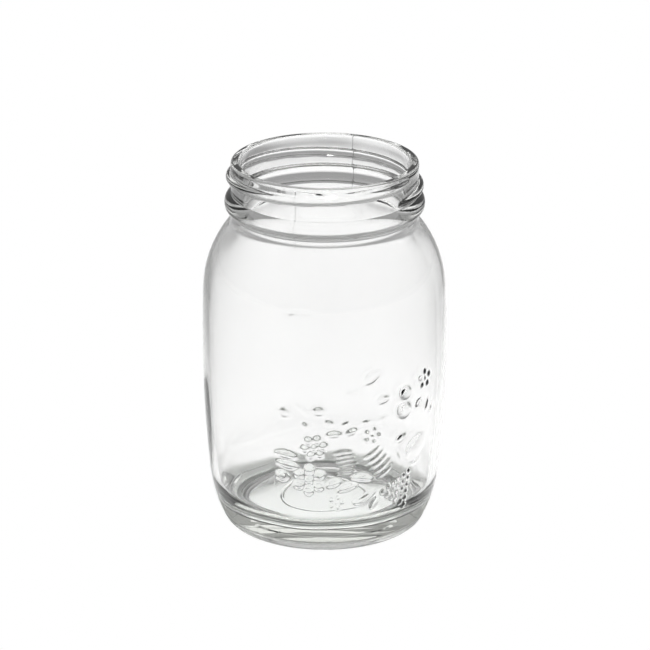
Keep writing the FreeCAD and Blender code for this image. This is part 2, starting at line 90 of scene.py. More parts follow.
class Graph:
    """Short ways to add and join nodes in one tree."""

    def __init__(self, tree: bpy.types.NodeTree) -> None:
        """Works on a given tree."""
        self.tree = tree

    def add(
        self, kind: str, inputs: Optional[dict[str, object]] = None, **settings: object
    ) -> bpy.types.Node:
        """Adds a node.

        Args:
            kind: The node's type name.
            inputs: What goes into its sockets, by their names.
            settings: Properties to set on the node.

        Returns:
            The new node.
        """
        node = self.tree.nodes.new(kind)
        for name, value in settings.items():
            setattr(node, name, value)
        self.fill(node, inputs or {})
        return node

    def fill(self, node: bpy.types.Node, inputs: dict[str, object]) -> None:
        """Links or sets several of a node's inputs by their names."""
        for name, value in inputs.items():
            self.put(node.inputs[name], value)

    def put(self, socket: Socket, value: object) -> None:
        """Links a socket's source to an input, or sets the input's own value."""
        if isinstance(value, Socket):
            self.tree.links.new(value, socket)
        elif value is not None:
            socket.default_value = value

    def math(self, operation: str, *values: Value) -> Socket:
        """Adds a Math node.

        Args:
            operation: The node's operation.
            values: Up to three inputs, each a number or another node's output.

        Returns:
            The result's socket.
        """
        node = self.add("ShaderNodeMath", operation=operation)
        for socket, value in zip(node.inputs, values):
            self.put(socket, value)
        return node.outputs[0]

    def times(self, *values: Value) -> Socket:
        """Multiplies numbers from left to right."""
        return reduce(lambda product, value: self.math("MULTIPLY", product, value), values)

    def plus(self, first: Value, second: Value) -> Socket:
        """Adds two numbers."""
        return self.math("ADD", first, second)

    def minus(self, first: Value, second: Value) -> Socket:
        """Takes the second number from the first."""
        return self.math("SUBTRACT", first, second)

    def total(self, values: Sequence[Socket]) -> Socket:
        """Adds up several numbers."""
        return reduce(self.plus, values)

    def bell(self, value: Value) -> Socket:
        """A soft peak of 1 where the value is 0."""
        return self.math("EXPONENT", self.times(value, value, -1.0))

    def hump(self, value: Value) -> Socket:
        """A parabola from 1 where the value is 0 down to 0 at 1, and 0 beyond."""
        return self.math("MAXIMUM", self.minus(1.0, self.times(value, value)), 0.0)

    def vector(self, x: Value, y: Value, z: Value) -> Socket:
        """Combines three numbers into a vector."""
        node = self.add("ShaderNodeCombineXYZ")
        for socket, value in zip(node.inputs, (x, y, z)):
            self.put(socket, value)
        return node.outputs[0]

    def split(self, vector: Socket) -> tuple[Socket, ...]:
        """Separates a vector into its three numbers."""
        node = self.add("ShaderNodeSeparateXYZ")
        self.put(node.inputs[0], vector)
        return tuple(node.outputs)

    def scaled(self, vector: Socket, factor: Value) -> Socket:
        """Multiplies a vector by a number."""
        node = self.add("ShaderNodeVectorMath", {"Vector": vector, "Scale": factor}, operation="SCALE")
        return node.outputs[0]

    def paired(self, operation: str, vector: Socket, other: object) -> Socket:
        """Joins two vectors by a Vector Math operation."""
        node = self.add("ShaderNodeVectorMath", operation=operation)
        self.put(node.inputs[0], vector)
        self.put(node.inputs[1], other)
        return node.outputs[0]

    def position(self) -> Socket:
        """Reads each point's place."""
        return self.add("GeometryNodeInputPosition").outputs[0]

    def mixed(self, share: Value, first: Socket, second: Socket) -> Socket:
        """Mixes two shaders, all first where the share is 0 and all second where it is 1."""
        node = self.add("ShaderNodeMixShader", {"Fac": share})
        self.put(node.inputs[1], first)
        self.put(node.inputs[2], second)
        return node.outputs[0]

    def ray(self, kind: str) -> Socket:
        """Tells a shader whether it is met by a certain kind of ray."""
        return self.add("ShaderNodeLightPath").outputs[f"Is {kind} Ray"]

    def noise(self, place: Socket, scale: float, detail: float = 1.0) -> Socket:
        """Adds smooth noise between 0 and 1 in space."""
        inputs = {"Vector": place, "Scale": scale, "Detail": detail}
        return self.add("ShaderNodeTexNoise", inputs, noise_dimensions="3D").outputs["Fac"]

    def named(self, name: str) -> Socket:
        """Reads a number stored on the geometry under a name."""
        node = self.add("GeometryNodeInputNamedAttribute", {"Name": name}, data_type="FLOAT")
        return node.outputs["Attribute"]

    def store(self, geometry: Socket, name: str, value: Value) -> Socket:
        """Stores a number on every point of the geometry under a name."""
        inputs = {"Geometry": geometry, "Name": name, "Value": value}
        node = self.add("GeometryNodeStoreNamedAttribute", inputs, data_type="FLOAT", domain="POINT")
        return node.outputs["Geometry"]

    def moved(
        self, geometry: Socket, position: Optional[Socket] = None, offset: Optional[Socket] = None
    ) -> Socket:
        """Moves every point.

        Args:
            geometry: What to move.
            position: New place of each point, or none to keep it.
            offset: Shift of each point, or none.

        Returns:
            The moved geometry.
        """
        inputs = {"Geometry": geometry, "Position": position, "Offset": offset}
        return self.add("GeometryNodeSetPosition", inputs).outputs["Geometry"]


def linked(name: str, data: Optional[bpy.types.ID]) -> bpy.types.Object:
    """Makes an object and links it to the scene."""
    made = bpy.data.objects.new(name, data)
    bpy.context.scene.collection.objects.link(made)
    return made


@dataclass(frozen=True)
class ClearGlass:
    """Colourless pressed soda-lime glass with a faint olive cast where it is thick."""

    name: str = "clear_pressed_glass"
    tint: Colour = (0.985, 0.985, 0.985, 1.0)
    index: float = 1.5
    absorbed: Colour = (0.66, 0.69, 0.60, 1.0)
    density: float = 8.0
    roughness: tuple[float, float] = (0.0, 0.012)
    haze_scale: float = 55.0
    haze_detail: float = 4.0
    haze_span: tuple[float, float] = (0.5, 0.8)
    ripple_scale: float = 140.0
    ripple: float = 0.02
    # Painted shade: a fixed grey that lamp light keeps when shadow rays cross the glass, setting how dark
    # the jar's shadow is in place of real refraction.
    painted_shadow_pass: Colour = (0.6, 0.61, 0.6, 1.0)

    def build(self) -> bpy.types.Material:
        """Makes the material.

        Returns:
            A glass shader with faint handling haze, moulding ripple and body colour, plus painted shade:
            a fixed grey that lamp light keeps on shadow rays through the glass, which sets how dark the
            jar's shadow and the floor under it look.
        """
        material = bpy.data.materials.new(self.name)
        material.use_nodes = True
        graph = Graph(material.node_tree)
        shader = material.node_tree.nodes["Principled BSDF"]
        graph.fill(shader, {"Base Color": self.tint, "Transmission Weight": 1.0, "IOR": self.index})
        place = graph.add("ShaderNodeTexCoord").outputs["Object"]
        haze = graph.noise(place, self.haze_scale, self.haze_detail)
        (thin, thick), (low, high) = self.haze_span, self.roughness
        spread = graph.add("ShaderNodeMapRange", {
            "Value": haze, "From Min": thin, "From Max": thick, "To Min": low, "To Max": high,
        })
        ripple = graph.noise(place, self.ripple_scale)
        bump = graph.add("ShaderNodeBump", {"Strength": self.ripple, "Distance": MM, "Height": ripple})
        graph.fill(shader, {"Roughness": spread.outputs["Result"], "Normal": bump.outputs["Normal"]})
        absorbing = {"Color": self.absorbed, "Density": self.density}
        body = graph.add("ShaderNodeVolumeAbsorption", absorbing).outputs["Volume"]
        # Painted shade: shadow rays pass the glass dimmed by a fixed grey, which darkens the floor under
        # the jar instead of the glass bending the light.
        painted_shadow_pass = graph.add("ShaderNodeBsdfTransparent", {"Color": self.painted_shadow_pass}).outputs["BSDF"]
        lit = graph.mixed(graph.ray("Shadow"), shader.outputs["BSDF"], painted_shadow_pass)
        graph.fill(material.node_tree.nodes["Material Output"], {"Volume": body, "Surface": lit})
        return material


def polar(centre: Vector, radius: float, angle: float) -> Vector:
    """The outline point at an angle on a circle; x is the radius from the axis and y the height."""
    return centre + radius * Vector((math.cos(angle), math.sin(angle)))


def heading(start: Vector, end: Vector) -> float:
    """Angle of the line from one outline point to another."""
    return math.atan2(end.y - start.y, end.x - start.x)


def common_point(first: Vector, reach: float, second: Vector, other_reach: float, side: int) -> Vector:
    """Finds the point at given distances from two points.

    Args:
        first: One point.
        reach: Distance from it.
        second: The other point.
        other_reach: Distance from that.
        side: 1 for the left of the line from first to second, -1 for the right.

    Returns:
        The common point.
    """
    span = (second - first).length
    along = (reach ** 2 - other_reach ** 2 + span ** 2) / (2 * span)
    direction = heading(first, second)
    foot = polar(first, along, direction)
    return polar(foot, side * math.sqrt(reach ** 2 - along ** 2), direction + math.pi / 2)


@dataclass
class Row:
    """One ring of the turned glass: its radius and height, and the zone it is in."""

    radius: float
    height: float
    zone: Zone


@dataclass(frozen=True)
class Centres:
    """Centres of the outline's arcs."""

    foot: Vector
    cove: Vector
    barrel: Vector
    heel: Vector
    shoulder: Vector
    root: Vector
    throat: Vector
    inner_heel: Vector


@dataclass
class Outline:
    """The jar's outline of tangent arcs, with sizes from the frame where it gives them."""

    height: float
    body_radius: float
    neck_radius: float
    plate_seam: float
    bead_radius: float
    bead_bottom: float
    bead_top: float
    bearing_radius: float = 34.2 * MM
    neck_wall: float = 3.25 * MM
    floor: float = 8 * MM
    belly_height: float = 67.4 * MM
    barrel_arc: float = 500 * MM
    heel_arc: float = 47 * MM
    shoulder_arc: float = 40 * MM
    foot_arc: float = 2.6 * MM
    land_width: float = 2.7 * MM
    wall: float = 2.9 * MM
    inner_heel_fillet: float = 11 * MM
    throat_fillet: float = 5 * MM
    finish_height: float = 20.9 * MM
    root_fillet: float = 1.2 * MM
    lip_outer_arc: float = 0.9 * MM
    lip_inner_arc: float = 0.8 * MM
    cove_arc: float = 2 * MM
    cove_turn: float = math.radians(50)
    push_up_edge: float = 3 * MM
    push_up_centre: float = 4.2 * MM
    baffle_radius: float = 16 * MM
    baffle_width: float = 1.4 * MM
    baffle_proud: float = 0.4 * MM
    seam_step: float = 0.2 * MM
    seam_band: float = 1.2 * MM
    relief_span: tuple[float, float] = (13.5 * MM, 72.5 * MM)
    high_mark_span: tuple[float, float] = (91.0 * MM, 95.5 * MM)
    thread_start_drop: float = 9.4 * MM
    fine_step: float = 0.5 * MM
    coarse_step: float = 1.6 * MM
    neck_step: float = 0.34 * MM
    inside_step: float = 2.4 * MM
    line_step: float = 0.7 * MM
    cove_step: float = 0.35 * MM
    tight_step: float = 0.3 * MM
    lip_step: float = 0.2 * MM
    least_step: float = 0.4
    plain_rows_in: int = 5
    rows: list[Row] = field(default_factory=list)

    @classmethod
    def from_frame(cls) -> "Outline":
        """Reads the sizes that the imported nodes' boxes give."""
        bead_low, bead_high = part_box("transfer_bead")
        return cls(
            height=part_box("sealing_lip")[1].z,
            body_radius=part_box("body_wall")[1].x,
            neck_radius=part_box("neck_wall")[1].x,
            plate_seam=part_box("bearing_ring")[1].z,
            bead_radius=bead_high.x,
            bead_bottom=bead_low.z,
            bead_top=bead_high.z,
        )

    @property
    def mouth_radius(self) -> float:
        """Inside radius of the neck."""
        return self.neck_radius - self.neck_wall

    def centres(self) -> Centres:
        """Works out the centres from which the arcs meet without a corner."""
        foot = Vector((self.bearing_radius, self.foot_arc))
        barrel = Vector((self.body_radius - self.barrel_arc, self.belly_height))
        reach = self.barrel_arc - self.heel_arc
        heel = common_point(barrel, reach, foot, self.heel_arc - self.foot_arc, 1)
        root = Vector((self.neck_radius + self.root_fillet, self.height - self.finish_height))
        reach = self.barrel_arc - self.shoulder_arc
        shoulder = common_point(barrel, reach, root, self.shoulder_arc + self.root_fillet, -1)
        throat_x = self.mouth_radius + self.throat_fillet
        throat_reach = self.shoulder_arc - self.wall + self.throat_fillet
        throat_rise = math.sqrt(throat_reach ** 2 - (throat_x - shoulder.x) ** 2)
        inner_y = self.floor + self.inner_heel_fillet
        inner_reach = self.heel_arc - self.wall - self.inner_heel_fillet
        inner_run = math.sqrt(inner_reach ** 2 - (inner_y - heel.y) ** 2)
        return Centres(
            foot=foot,
            cove=Vector((self.bearing_radius - self.land_width, self.cove_arc)),
            barrel=barrel,
            heel=heel,
            shoulder=shoulder,
            root=root,
            throat=Vector((throat_x, shoulder.y + throat_rise)),
            inner_heel=Vector((heel.x + inner_run, inner_y)),
        )

    def panel(self) -> tuple[float, float]:
        """Heights of the barrel arc's two ends, between which the spray is drawn."""
        centres = self.centres()
        low = polar(centres.barrel, self.barrel_arc, heading(centres.barrel, centres.heel)).y
        high = polar(centres.barrel, self.barrel_arc, heading(centres.barrel, centres.shoulder)).y
        return low, high

    def side_step(self, height: float) -> float:
        """Row spacing on the outside wall, fine where the spray is."""
        for low, high in (self.relief_span, self.high_mark_span):
            if low < height < high:
                return self.fine_step
        return self.coarse_step

    def add_arc(
        self, centre: Vector, radius: float, first: float, last: float, zone: Zone, step: Step
    ) -> None:
        """Adds rows along an arc, without its first point.

        Args:
            centre: Centre of the arc.
            radius: Its radius.
            first: Angle where it starts.
            last: Angle where it ends.
            zone: Zone of the new rows.
            step: Spacing of rows, or what gives it at a height.
        """
        spacing = step if callable(step) else lambda _: step
        sense = math.copysign(1.0, last - first)
        angle = first
        while sense * (last - angle) > 0:
            angle += sense * spacing(polar(centre, radius, angle).y) / radius
            if sense * (last - angle) < self.least_step * spacing(polar(centre, radius, last).y) / radius:
                angle = last
            point = polar(centre, radius, angle)
            self.rows.append(Row(point.x, point.y, zone))

    def add_line(self, end: tuple[float, float], zone: Zone, step: float) -> None:
        """Adds rows in a straight line from the last row.

        Args:
            end: Radius and height where the line ends.
            zone: Zone of the new rows.
            step: Longest spacing of rows.
        """
        start = Vector((self.rows[-1].radius, self.rows[-1].height))
        run = Vector(end) - start
        count = max(1, math.ceil(run.length / step))
        for index in range(1, count + 1):
            point = start + run * index / count
            self.rows.append(Row(point.x, point.y, zone))

    def dome(self, radius: float, edge: float) -> float:
        """Height of the underside of the base within the push-up, whose edge has a given radius."""
        return self.push_up_centre - (self.push_up_centre - self.push_up_edge) * (radius / edge) ** 2

    def add_underside(self, centres: Centres) -> None:
        """Adds the push-up, its low circle, and the foot, from the axis out."""
        quarter = math.pi / 2
        cove_end = polar(centres.cove, self.cove_arc, -quarter - self.cove_turn)
        edge = cove_end.x - (self.push_up_edge - cove_end.y) / math.tan(self.cove_turn)
        count = round(edge / self.cove_step)
        for index in range(count + 1):
            radius = edge * index / count
            across = (radius - self.baffle_radius) / (self.baffle_width / 2)
            ring = self.baffle_proud * max(0.0, 1 - across ** 2)
            if index % self.plain_rows_in == 0 or abs(across) < 2 or index == count:
                self.rows.append(Row(radius, self.dome(radius, edge) - ring, Zone.UNDERSIDE))
        self.add_line((cove_end.x, cove_end.y), Zone.UNDERSIDE, self.line_step)
        small = self.cove_step
        start = -quarter - self.cove_turn
        self.add_arc(centres.cove, self.cove_arc, start, -quarter, Zone.UNDERSIDE, small)
        self.add_line((self.bearing_radius, 0.0), Zone.UNDERSIDE, self.fine_step)

    def add_side(self, centres: Centres) -> None:
        """Adds the foot's rounding, the heel, the side and the shoulder, from the table up."""
        foot_top = heading(centres.heel, centres.foot)
        heel_top = heading(centres.barrel, centres.heel)
        barrel_top = heading(centres.barrel, centres.shoulder)
        shoulder_top = heading(centres.shoulder, centres.root)
        seam = math.asin((self.plate_seam - centres.heel.y) / self.heel_arc)
        small = self.tight_step
        self.add_arc(centres.foot, self.foot_arc, -math.pi / 2, foot_top, Zone.UNDERSIDE, small)
        self.add_arc(centres.heel, self.heel_arc, foot_top, seam, Zone.UNDERSIDE, small)
        for back in (2, 1):
            self.rows[-back].radius -= self.seam_step / back
        above = seam + self.seam_band / self.heel_arc
        step = self.side_step
        self.add_arc(centres.heel, self.heel_arc, seam, above, Zone.SIDE, small)
        self.add_arc(centres.heel, self.heel_arc, above, heel_top, Zone.SIDE, step)
        self.add_arc(centres.barrel, self.barrel_arc, heel_top, barrel_top, Zone.SIDE, step)
        self.add_arc(centres.shoulder, self.shoulder_arc, barrel_top, shoulder_top, Zone.SIDE, step)

    def add_finish(self, centres: Centres) -> None:
        """Adds the neck with its bead, and the lip, from the shoulder to the mouth."""
        shoulder_top = heading(centres.shoulder, centres.root)
        small = self.tight_step
        start = shoulder_top + math.pi
        self.add_arc(centres.root, self.root_fillet, start, math.pi, Zone.NECK, small)
        self.add_line((self.neck_radius, self.bead_bottom), Zone.NECK, self.line_step)
        rise = self.bead_radius - self.neck_radius
        half = (self.bead_top - self.bead_bottom) / 2
        bead_arc = (half ** 2 + rise ** 2) / (2 * rise)
        spread = math.asin(half / bead_arc)
        bead = Vector((self.bead_radius - bead_arc, (self.bead_top + self.bead_bottom) / 2))
        self.add_arc(bead, bead_arc, -spread, spread, Zone.NECK, self.neck_step)
        lip = Vector((self.neck_radius - self.lip_outer_arc, self.height - self.lip_outer_arc))
        self.add_line((self.neck_radius, lip.y), Zone.NECK, self.neck_step)
        rim = Vector((self.mouth_radius + self.lip_inner_arc, self.height - self.lip_inner_arc))
        self.add_arc(lip, self.lip_outer_arc, 0.0, math.pi / 2, Zone.LIP, self.lip_step)
        self.add_line((rim.x, self.height), Zone.LIP, 2 * self.lip_step)
        self.add_arc(rim, self.lip_inner_arc, math.pi / 2, math.pi, Zone.LIP, self.lip_step)

    def add_inside(self, centres: Centres) -> None:
        """Adds the mouth, the throat, the inside of the wall and the floor, down to the axis."""
        heel_top = heading(centres.barrel, centres.heel)
        barrel_top = heading(centres.barrel, centres.shoulder)
        throat_top = heading(centres.shoulder, centres.throat)
        inner_heel_top = heading(centres.heel, centres.inner_heel)
        wide = self.inside_step
        self.add_line((self.mouth_radius, centres.throat.y), Zone.INSIDE, wide)
        end = math.pi + throat_top
        self.add_arc(centres.throat, self.throat_fillet, math.pi, end, Zone.INSIDE, wide / 4)
        inner = self.shoulder_arc - self.wall
        self.add_arc(centres.shoulder, inner, throat_top, barrel_top, Zone.INSIDE, wide)
        inner = self.barrel_arc - self.wall
        self.add_arc(centres.barrel, inner, barrel_top, heel_top, Zone.INSIDE, wide)
        inner = self.heel_arc - self.wall
        self.add_arc(centres.heel, inner, heel_top, inner_heel_top, Zone.INSIDE, wide)
        end = -math.pi / 2
        fillet = self.inner_heel_fillet
        self.add_arc(centres.inner_heel, fillet, inner_heel_top, end, Zone.INSIDE, wide / 2)
        self.add_line((0.0, self.floor), Zone.INSIDE, wide)

    def build(self) -> list[Row]:
        """Makes every row, from the axis under the base round to the axis on the floor."""
        centres = self.centres()
        self.add_underside(centres)
        self.add_side(centres)
        self.add_finish(centres)
        self.add_inside(centres)
        return self.rows


@dataclass(frozen=True)
class Mark:
    """One raised mark of the spray, in millimetres on the flat drawing.

    Its middle is across from the front and up from the heel's top. A stroke tapers to a point at
    both ends and may bow sideways; a dot is an oval.
    """

    across: float
    up: float
    length: float
    width: float
    bow: float = 0.0
    turn: float = 0.0
    rise: float = 0.8
    taper: float = 1.0


def dot(
    across: float, up: float, half_length: float, half_width: float, turn: float, rise: float
) -> Mark:
    """An oval boss from its half sizes."""
    return Mark(across, up, 2 * half_length, 2 * half_width, 0.0, turn, rise, 0.5)


@dataclass
class Spray:
    """The fruit and flower spray: the same drawing as the frame's relief nodes."""

    panel: float = 69.0
    petal_gap: float = 0.35
    boss_share: float = 0.24
    row_share: float = 0.87
    bold: float = 1.2
    plain: float = 0.8
    faint: float = 0.6
    strokes: tuple[tuple[float, ...], ...] = (
        (-13.8, 20.6, 9.5, 2.6, 0.4, -8),
        (-13.2, 17.0, 9.0, 3.0, 0.3, -10),
        (-15.2, 12.6, 5.5, 4.0, 0.0, -5),
        (3.4, 10.4, 5.6, 2.4, 0.3, 22),
        (3.4, 29.0, 6.6, 2.2, 0.5, 2),
        (9.6, 29.6, 6.0, 2.2, 0.5, 22),
        (1.6, 33.6, 5.2, 1.5, 0.3, -12),
        (7.4, 33.0, 4.6, 1.4, 0.2, 24),
        (14.6, 33.0, 5.8, 1.4, 0.2, 6),
        (20.8, 33.6, 5.8, 1.4, -0.2, 14),
        (13.6, 11.6, 9.0, 2.4, 0.6, -12),
        (8.4, 8.4, 8.0, 2.4, 0.5, 16),
        (14.6, 4.6, 10.6, 3.2, -1.2, 24),
        (18.8, 1.6, 6.4, 3.0, 0.0, 58),
        (21.4, 40.4, 6.2, 2.8, 0.4, 16),
        (16.8, 49.6, 8.6, 4.0, 0.2, 34),
        (9.6, 44.6, 6.0, 1.3, 0.2, 12),
        (37.6, 35.4, 5.0, 2.6, 0.0, 36),
        (42.4, 33.4, 6.4, 1.4, -0.5, 68),
        (45.6, 31.2, 4.2, 1.2, -0.3, 62),
        (29.2, 24.2, 6.4, 2.8, 0.2, 24),
        (29.6, 47.0, 8.4, 0.8, -0.6, 128),
        (26.0, 40.0, 6.4, 0.8, 0.3, 118),
        (28.4, 17.4, 4.4, 0.9, 0.3, 118),
        (36.8, 13.8, 8.0, 1.3, -1.2, 10),
    )
    faint_strokes: tuple[tuple[float, ...], ...] = (
        (-7.8, 38.6, 7.6, 0.9, 0.2, -40),
        (-14.0, 37.0, 5.4, 3.4, 0.0, -14),
        (-2.0, 38.2, 5.8, 3.4, 0.0, 4),
        (-6.6, 32.6, 3.4, 1.8, 0.0, -50),
        (-11.6, 73.2, 5.0, 1.3, 0.5, 8),
        (-6.8, 73.4, 4.0, 1.2, 0.4, -16),
    )

    def blossom(self, across: float, up: float, radius: float, petals: int, turn: float) -> list[Mark]:
        """Makes a round flower: oval petals about a small boss.

        Args:
            across: Middle, across the front.
            up: Middle, up from the heel's top.
            radius: From the middle to a petal's tip.
            petals: How many petals.
            turn: Angle of the first petal in degrees.

        Returns:
            The boss and the petals.
        """
        boss = radius * self.boss_share
        length = radius - boss - self.petal_gap
        middle = boss + self.petal_gap + length / 2
        width = min(length * 0.8, 2 * (boss + self.petal_gap) * math.tan(math.pi / petals) * 1.9)
        marks = [dot(across, up, boss, boss, 0.0, self.plain)]
        for index in range(petals):
            angle = turn + 360.0 * index / petals
            reach = middle * Vector((math.cos(math.radians(angle)), math.sin(math.radians(angle))))
            marks.append(Mark(across + reach.x, up + reach.y, length, width, 0.0, angle, self.plain))
        return marks

    def grapes(self, across: float, up: float, rows: int, radius: float, lean: float) -> list[Mark]:
        """Makes a hanging bunch of round berries that narrows towards its tip.

        Args:
            across: Middle of the top row.
            up: Its height.
            rows: How many rows.
            radius: A berry's radius.
            lean: Angle of the bunch from upright, in degrees.

        Returns:
            The berries.
        """
        marks = []
        pitch = 2 * radius + self.petal_gap
        cosine, sine = math.cos(math.radians(lean)), math.sin(math.radians(lean))
        for row in range(rows):
            count = rows - row
            for index in range(count):
                side = (index - (count - 1) / 2) * pitch
                down = row * pitch * self.row_share
                marks.append(dot(
                    across + side * cosine + down * sine, up + side * sine - down * cosine,
                    radius, radius, 0.0, self.plain,
                ))
        return marks

    def ribs(self, first: Vector, last: Vector, count: int, like: Mark) -> list[Mark]:
        """Makes evenly spaced copies of one stroke between two middles."""
        marks = []
        for index in range(count):
            middle = first.lerp(last, index / (count - 1))
            marks.append(replace(like, across=middle.x, up=middle.y))
        return marks

    def marks(self) -> list[Mark]:
        """All the marks of the spray."""
        marks = [Mark(*stroke, self.plain) for stroke in self.strokes]
        marks += [Mark(*stroke, self.faint) for stroke in self.faint_strokes]
        marks += self.blossom(-5.4, 11.8, 6.2, 6, 28)
        marks += self.blossom(-3.6, 24.4, 4.8, 6, 10)
        marks += self.blossom(17.0, 27.4, 3.6, 5, 70)
        marks += self.blossom(41.0, 43.6, 4.0, 5, 20)
        marks += self.blossom(4.4, 3.2, 3.0, 5, 0)
        marks += self.grapes(28.4, 7.6, 6, 1.1, 24)
        rib = Mark(0, 0, 9.0, 1.1, -1.0, 36, self.plain)
        marks += self.ribs(Vector((17.4, 22.0)), Vector((22.6, 13.6)), 5, rib)
        rib = Mark(0, 0, 8.0, 0.8, 0.2, 6, self.faint)
        marks += self.ribs(Vector((7.0, 22.4)), Vector((8.2, 14.6)), 6, rib)
        marks += [dot(30.6, 41.2, 2.9, 2.8, 0, self.bold), dot(30.2, 34.8, 3.5, 3.4, 0, self.bold)]
        marks += [dot(37.0, 19.0, 6.0, 4.2, 26, self.plain)]
        return marks


@dataclass
class Thread:
    """Single-start right-hand ridge of the screw finish, angles in degrees."""

    crest: float
    neck: float
    start_height: float
    start_azimuth: float = 50.0
    half_width: float = 1.6 * MM
    pitch: float = 6.35 * MM
    sweep: float = 375.0
    run_out: float = 24.0

    @classmethod
    def from_frame(cls, outline: Outline) -> "Thread":
        """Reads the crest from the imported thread."""
        start = outline.height - outline.thread_start_drop
        return cls(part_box("screw_thread")[1].x, outline.neck_radius, start)

    def rise(self, graph: Graph, azimuth: Value, height: Value) -> Socket:
        """Adds the nodes that give the ridge's height above the neck.

        Args:
            graph: Tree to add to.
            azimuth: Degrees round from the front.
            height: Height above the table.

        Returns:
            How far the thread stands out there, and 0 away from it.
        """
        total = None
        for lap in (0, 1):
            turn = graph.math("FLOORED_MODULO", graph.minus(azimuth, self.start_azimuth), 360.0)
            turn = graph.plus(turn, 360.0 * lap)
            to_end = graph.math("MINIMUM", turn, graph.minus(self.sweep, turn))
            share = graph.math("DIVIDE", to_end, self.run_out)
            share = graph.math("MINIMUM", graph.math("MAXIMUM", share, 0.0), 1.0)
            fullness = graph.math("SINE", graph.times(share, math.pi / 2))
            middle = graph.math("MULTIPLY_ADD", turn, self.pitch / 360.0, self.start_height)
            half = graph.math("MULTIPLY_ADD", fullness, self.half_width / 2, self.half_width / 2)
            away = graph.math("DIVIDE", graph.minus(height, middle), half)
            curve = graph.math("SQRT", graph.hump(away))
            ridge = graph.times(curve, self.crest - self.neck, fullness)
            total = ridge if total is None else graph.math("MAXIMUM", total, ridge)
        return total


def point_mesh(
    name: str, points: Sequence[Vector], numbers: dict[str, Sequence[float]]
) -> bpy.types.Object:
    """Makes a helper object of loose points with named numbers on them.

    Args:
        name: Name of the object.
        points: The points.
        numbers: A list of one number a point for each name.

    Returns:
        The object, linked to the scene so that a modifier can read it.
    """
    mesh = bpy.data.meshes.new(name)
    mesh.from_pydata([tuple(point) for point in points], [], [])
    for key, values in numbers.items():
        mesh.attributes.new(key, "FLOAT", "POINT").data.foreach_set("value", list(values))
    return linked(name, mesh)


